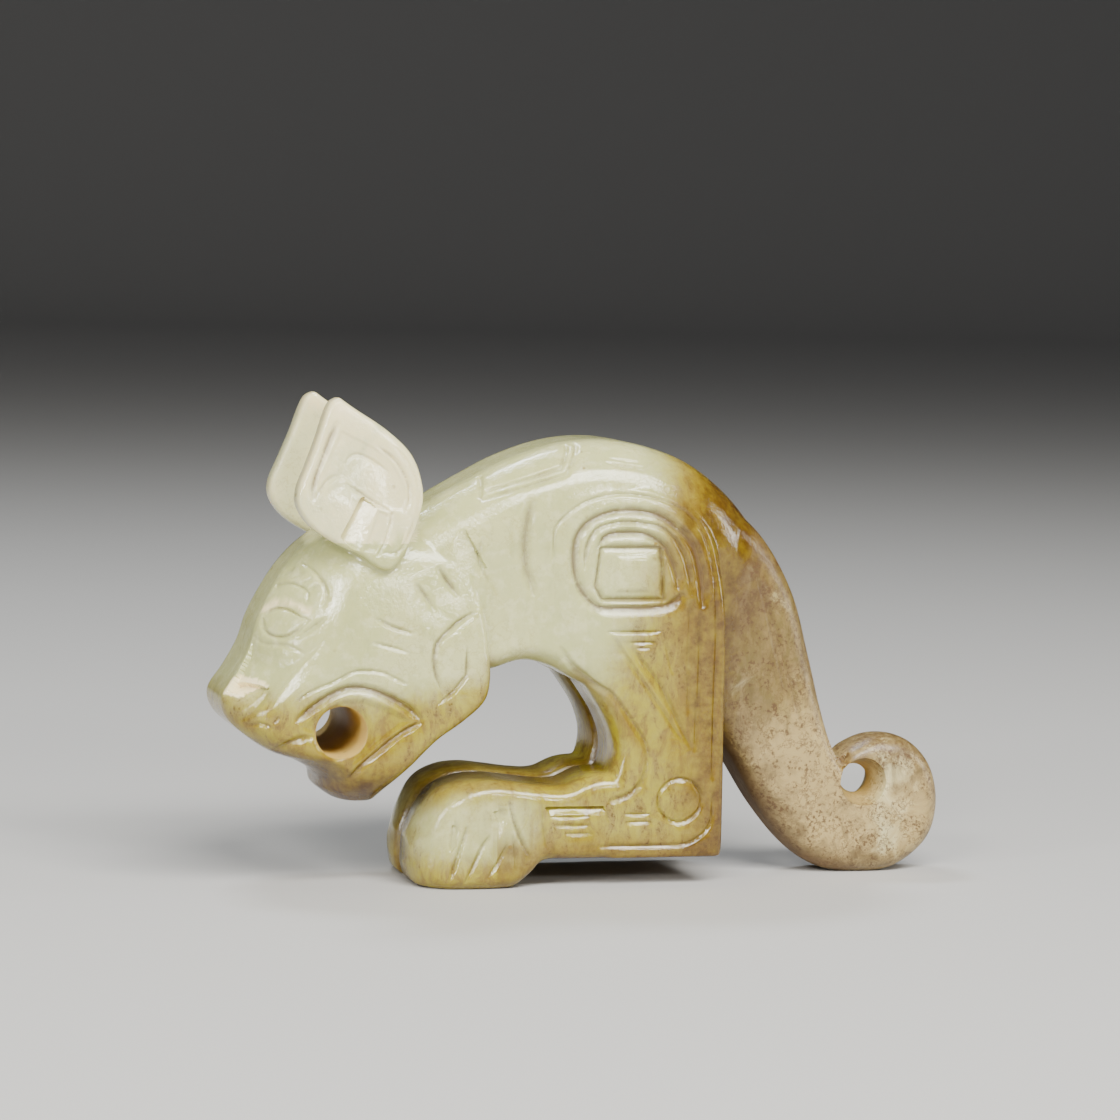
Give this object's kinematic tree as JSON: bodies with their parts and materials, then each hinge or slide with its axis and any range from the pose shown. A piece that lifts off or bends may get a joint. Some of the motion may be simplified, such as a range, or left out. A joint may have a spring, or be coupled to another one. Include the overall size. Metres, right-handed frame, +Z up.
{
  "type": "jade dragon carving",
  "caption": "Small polished jade carving of a crouching dragon-like beast with upright ears, drilled mouth, squared haunch spiral, flat paws and a curled tail.",
  "frame": {"origin": "under the middle of the carving, on the surface that the paws and the tail stand on", "axes": "+X from the nose to the tail curl, +Y across the body to its left-hand far side, +Z up"},
  "size_m": [0.064, 0.0156, 0.0408],
  "materials": {
    "jade": "polished"
  },
  "bodies": {
    "root": {"jade_dragon_carving": "jade"}
  },
  "joints": []
}
